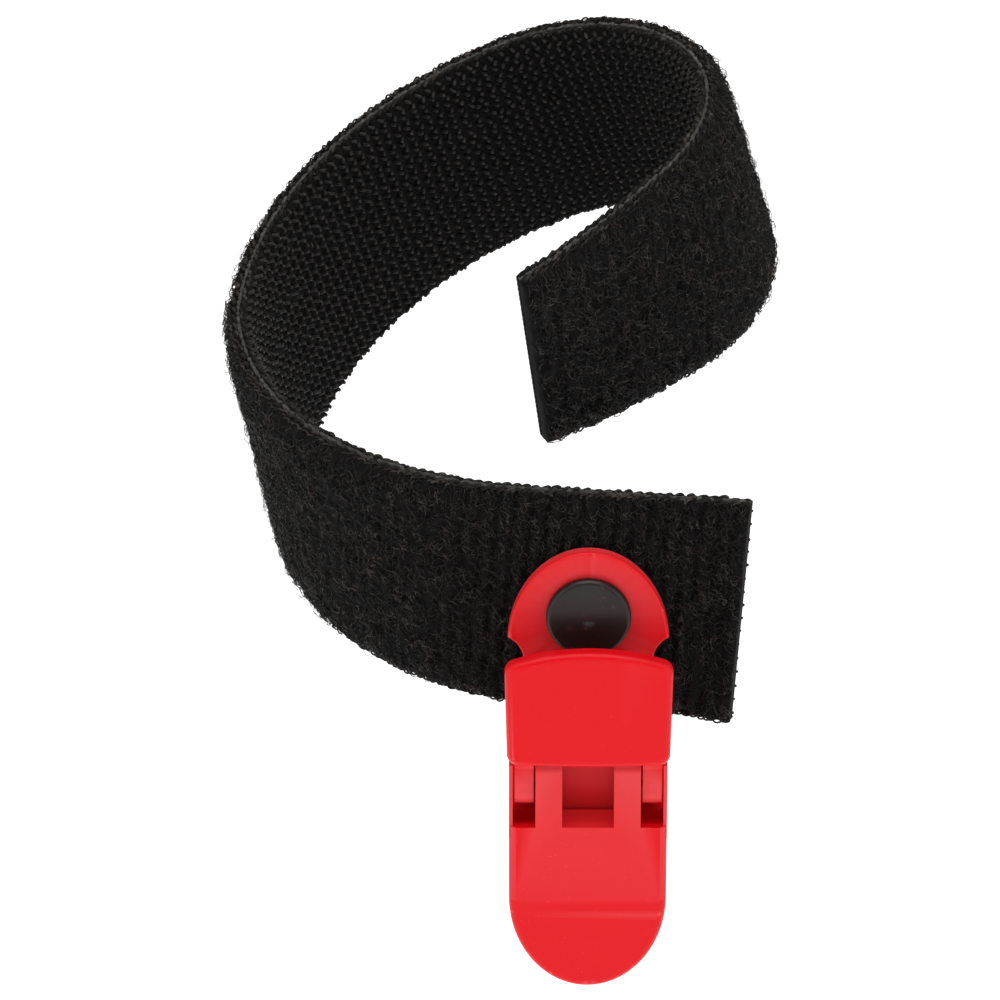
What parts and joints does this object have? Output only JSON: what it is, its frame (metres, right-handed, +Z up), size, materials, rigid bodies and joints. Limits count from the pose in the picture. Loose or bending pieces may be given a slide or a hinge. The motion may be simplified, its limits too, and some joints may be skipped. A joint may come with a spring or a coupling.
{
  "type": "hook-and-loop strap with lever clip",
  "caption": "Hook-and-loop fabric strap bent into an open wrist loop, with a plastic lever clip that hangs and swivels on a double-cap rivet.",
  "frame": {"origin": "middle of the open wrist loop", "axes": "+Z up along the wrist through the loop, -Y out of the clip's front face, clip hanging toward -Z"},
  "size_m": [0.0601, 0.0767, 0.0867],
  "materials": {
    "loop_pile": "fuzzy looped pile, near black",
    "bond_film": "dull grey bonding film",
    "hook_weave": "woven hook rows, black",
    "gunmetal": "dark polished plating",
    "red_plastic": "moulded red plastic, satin gloss",
    "steel_pin": "plain drawn wire"
  },
  "bodies": {
    "strap": {"loop_tape": "loop_pile", "tape_bond": "bond_film", "hook_tape": "hook_weave", "rivet_front_cap": "gunmetal", "rivet_back_cap": "gunmetal", "rivet_post": "gunmetal"},
    "clip": {"clip_back": "red_plastic", "jaw_pin": "steel_pin"},
    "tongue": {"front_jaw": "red_plastic", "lever_pin_right": "red_plastic", "lever_pin_left": "red_plastic"},
    "flip_lever": {"lever": "red_plastic"}
  },
  "joints": [
    {"name": "clip_swivel", "type": "hinge", "parent": "strap", "child": "clip", "pos_m": [0.009, -0.036, -0.012], "axis": [0, 1, 0], "range_deg": [-6, 160]},
    {"name": "jaw_open", "type": "hinge", "parent": "clip", "child": "tongue", "pos_m": [0.009, -0.0394, -0.0382], "axis": [1, 0, 0], "range_deg": [-6, 0]},
    {"name": "lever_lift", "type": "hinge", "parent": "tongue", "child": "flip_lever", "pos_m": [0.009, -0.0399, -0.0315], "axis": [1, 0, 0], "range_deg": [0, 90]}
  ],
  "couplings": [
    {"joint": "jaw_open", "follows": "lever_lift", "ratio": -0.0666}
  ]
}
